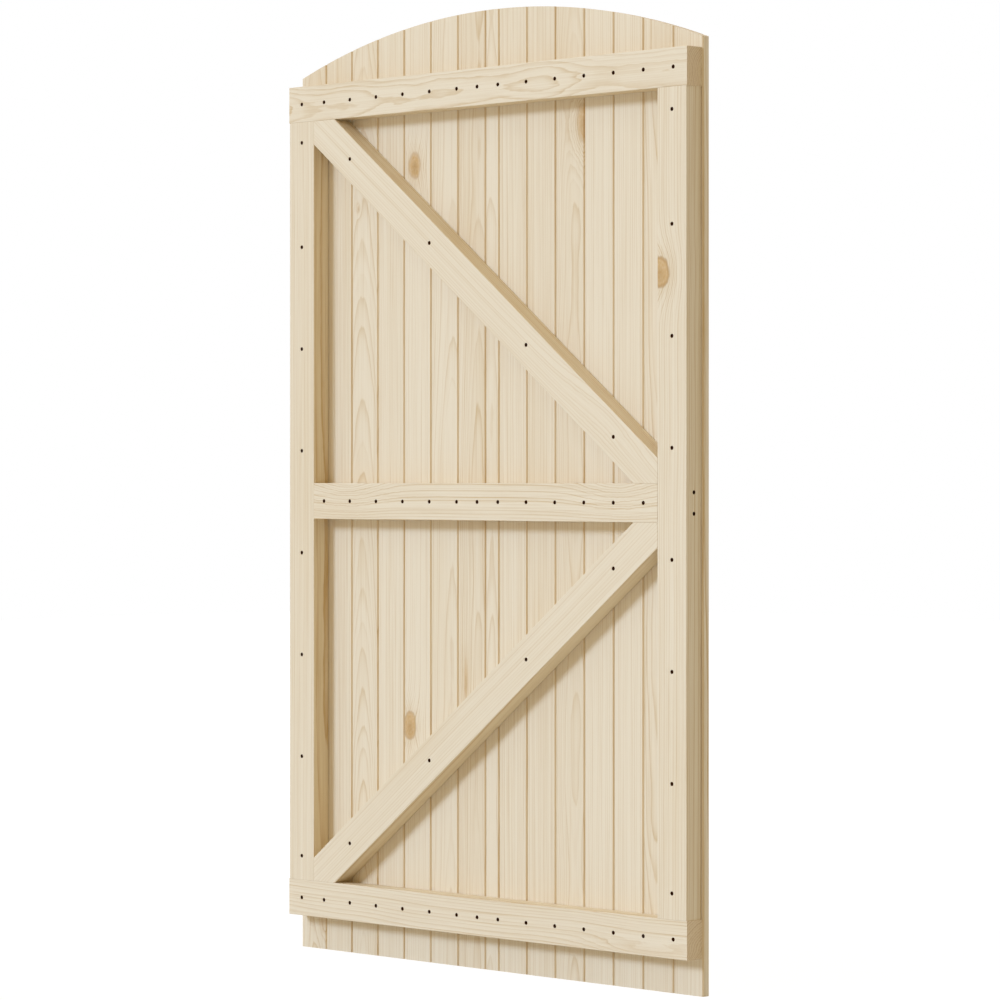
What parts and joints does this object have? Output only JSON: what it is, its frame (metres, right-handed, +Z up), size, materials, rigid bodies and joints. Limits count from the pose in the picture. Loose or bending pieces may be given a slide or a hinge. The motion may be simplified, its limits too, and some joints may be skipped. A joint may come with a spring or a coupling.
{
  "type": "arch top garden gate",
  "caption": "Arch-topped wooden garden gate leaf of vertical tongue and groove boards on a ledged, framed back with two diagonal braces, no hinges or latch fitted.",
  "frame": {"origin": "on the front face of the hanging stile, on its centre line and level with the middle of the mid rail", "axes": "+X along the leaf from the hanging side to the closing side, +Y through the leaf from the framed face to the boarded face, +Z up"},
  "size_m": [1.06, 0.058, 1.8],
  "materials": {
    "board_pine": "planed softwood, bare, pale cream with light tan grain",
    "frame_pine": "planed softwood, bare, pale cream with wavy tan grain and a few knots"
  },
  "bodies": {
    "root": {"board_01": "board_pine", "board_02": "board_pine", "board_03": "board_pine", "board_04": "board_pine", "board_05": "board_pine", "board_06": "board_pine", "board_07": "board_pine", "board_08": "board_pine", "board_09": "board_pine", "board_10": "board_pine", "board_11": "board_pine", "board_12": "board_pine", "board_13": "board_pine", "board_14": "board_pine", "board_15": "board_pine", "top_rail": "frame_pine", "mid_rail": "frame_pine", "bottom_rail": "frame_pine", "hanging_stile": "frame_pine", "closing_stile": "frame_pine", "upper_brace": "frame_pine", "lower_brace": "frame_pine"}
  },
  "joints": []
}
